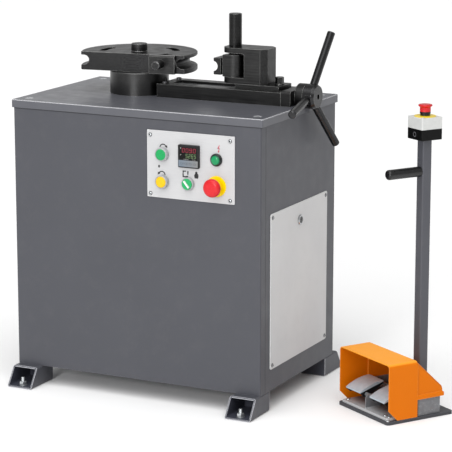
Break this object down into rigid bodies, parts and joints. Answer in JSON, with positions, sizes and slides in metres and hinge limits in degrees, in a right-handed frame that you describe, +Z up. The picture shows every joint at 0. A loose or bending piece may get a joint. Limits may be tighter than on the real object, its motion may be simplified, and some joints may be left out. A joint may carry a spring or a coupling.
{
  "type": "profile and tube bender",
  "caption": "Floor-standing electric profile and tube bender with grooved bending die, screw-fed counter die, control panel and a separate guarded foot pedal station.",
  "frame": {"origin": "on the floor, at the centre of the four anchor holes in the feet", "axes": "+X to the right of the machine along its longest side, +Y from the control panel to the back, +Z up"},
  "size_m": [1.1055, 0.556, 0.9513],
  "materials": {
    "cabinet_paint": "satin powder coat",
    "black_steel": "black oxide",
    "cover_paint": "satin powder coat",
    "lock_chrome": "bright plated",
    "panel_metal": "satin",
    "controller_plastic": "fine texture",
    "bezel_plastic": "satin",
    "lamp_plastic": "gloss",
    "green_plastic": "gloss",
    "yellow_plastic": "gloss",
    "red_plastic": "gloss",
    "knob_plastic": "fine texture",
    "shaft_steel": "turned",
    "polished_steel": "dark polish",
    "gearbox_iron": "cast",
    "motor_paint": "satin",
    "guard_paint": "satin powder coat",
    "pedal_metal": "cast, grey lacquer",
    "grip_rubber": "fine texture",
    "box_plastic": "satin"
  },
  "bodies": {
    "machine": {"cabinet_front": "cabinet_paint", "cabinet_left": "cabinet_paint", "cabinet_right": "cabinet_paint", "cabinet_back": "cabinet_paint", "cabinet_base": "cabinet_paint", "table_plate": "cabinet_paint", "table_bolt_front_left": "black_steel", "table_bolt_front_right": "black_steel", "table_bolt_back_left": "black_steel", "table_bolt_back_right": "black_steel", "foot_front_left": "cabinet_paint", "foot_front_right": "cabinet_paint", "foot_back_left": "cabinet_paint", "foot_back_right": "cabinet_paint", "side_cover": "cover_paint", "cover_lock_ring": "lock_chrome", "panel_plate": "panel_metal", "controller": "controller_plastic", "green_bezel": "bezel_plastic", "yellow_bezel": "bezel_plastic", "pilot_lamp": "lamp_plastic", "selector_bezel": "bezel_plastic", "stop_collar": "yellow_plastic", "hub_housing": "black_steel", "gearbox": "gearbox_iron", "drive_motor": "motor_paint", "slide_base": "black_steel", "end_block": "black_steel"},
    "die": {"main_shaft": "shaft_steel", "bending_die": "black_steel", "clamp_block": "black_steel", "clamp_pin": "black_steel"},
    "carriage": {"carriage_base": "black_steel", "fork_block": "black_steel", "carriage_bolt": "black_steel"},
    "holder": {"die_holder": "black_steel", "counter_die": "black_steel"},
    "pin": {"pivot_pin": "black_steel"},
    "handle": {"lead_screw": "shaft_steel", "handle_hub": "polished_steel", "handle_arm_1": "polished_steel", "handle_arm_2": "polished_steel", "handle_arm_3": "polished_steel"},
    "green_button": {"green_cap": "green_plastic"},
    "yellow_button": {"yellow_cap": "yellow_plastic"},
    "selector": {"selector_knob": "green_plastic"},
    "panel_stop": {"stop_head": "red_plastic"},
    "lock": {"cover_lock": "lock_chrome"},
    "station": {"station_plate": "cabinet_paint", "pedal_base": "pedal_metal", "pedal_guard": "guard_paint", "pedal_pin": "shaft_steel", "station_post": "cabinet_paint", "grip_rod": "grip_rubber", "switch_box_base": "knob_plastic", "switch_box_cover": "box_plastic", "box_stop_collar": "yellow_plastic"},
    "pedal_a": {"pedal_left": "pedal_metal"},
    "pedal_b": {"pedal_right": "pedal_metal"},
    "box_stop": {"box_stop_head": "red_plastic"}
  },
  "joints": [
    {"name": "die_turn", "type": "hinge", "parent": "machine", "child": "die", "pos_m": [-0.121, 0.03, 0.8189], "axis": [0, 0, 1], "range_deg": [-8, 182]},
    {"name": "handle_turn", "type": "hinge", "parent": "machine", "child": "handle", "pos_m": [0.33, 0.03, 0.7564], "axis": [-1, 0, 0], "range_deg": [0, 4320]},
    {"name": "carriage_slide", "type": "slide", "parent": "machine", "child": "carriage", "axis": [-1, 0, 0], "range_m": [0, 0.072]},
    {"name": "holder_swivel", "type": "hinge", "parent": "carriage", "child": "holder", "pos_m": [0.153, 0.03, 0.8189], "axis": [0, 0, 1], "range_deg": [-12, 12]},
    {"name": "pin_lift", "type": "slide", "parent": "carriage", "child": "pin", "axis": [0, 0, 1], "range_m": [0, 0.075]},
    {"name": "green_press", "type": "slide", "parent": "machine", "child": "green_button", "axis": [0, 1, 0], "range_m": [0, 0.004], "stiffness_N_per_m": 800, "springref_m": -0.003},
    {"name": "yellow_press", "type": "slide", "parent": "machine", "child": "yellow_button", "axis": [0, 1, 0], "range_m": [0, 0.004], "stiffness_N_per_m": 800, "springref_m": -0.003},
    {"name": "selector_turn", "type": "hinge", "parent": "machine", "child": "selector", "pos_m": [0.1516, -0.221, 0.563], "axis": [0, 1, 0], "range_deg": [0, 80]},
    {"name": "estop_press", "type": "slide", "parent": "machine", "child": "panel_stop", "axis": [0, 1, 0], "range_m": [0, 0.005]},
    {"name": "cover_lock_turn", "type": "hinge", "parent": "machine", "child": "lock", "pos_m": [0.345, -0.0011, 0.45], "axis": [1, 0, 0], "range_deg": [0, 90]},
    {"name": "station_move", "type": "slide", "parent": "machine", "child": "station", "axis": [1, 0, 0], "range_m": [0, 0.5]},
    {"name": "pedal_left_press", "type": "hinge", "parent": "station", "child": "pedal_a", "pos_m": [0.57628, -0.07529, 0.044], "axis": [-0.8434, 0.5373, 0], "range_deg": [0, 8], "stiffness_Nm_per_rad": 2, "springref_deg": -17.19},
    {"name": "pedal_right_press", "type": "hinge", "parent": "station", "child": "pedal_b", "pos_m": [0.57628, -0.07529, 0.044], "axis": [-0.8434, 0.5373, 0], "range_deg": [0, 8], "stiffness_Nm_per_rad": 2, "springref_deg": -17.19},
    {"name": "station_estop_press", "type": "slide", "parent": "station", "child": "box_stop", "axis": [0, 0, -1], "range_m": [0, 0.005]}
  ],
  "couplings": [
    {"joint": "carriage_slide", "follows": "handle_turn", "m_per_rad": 0.00095493}
  ]
}
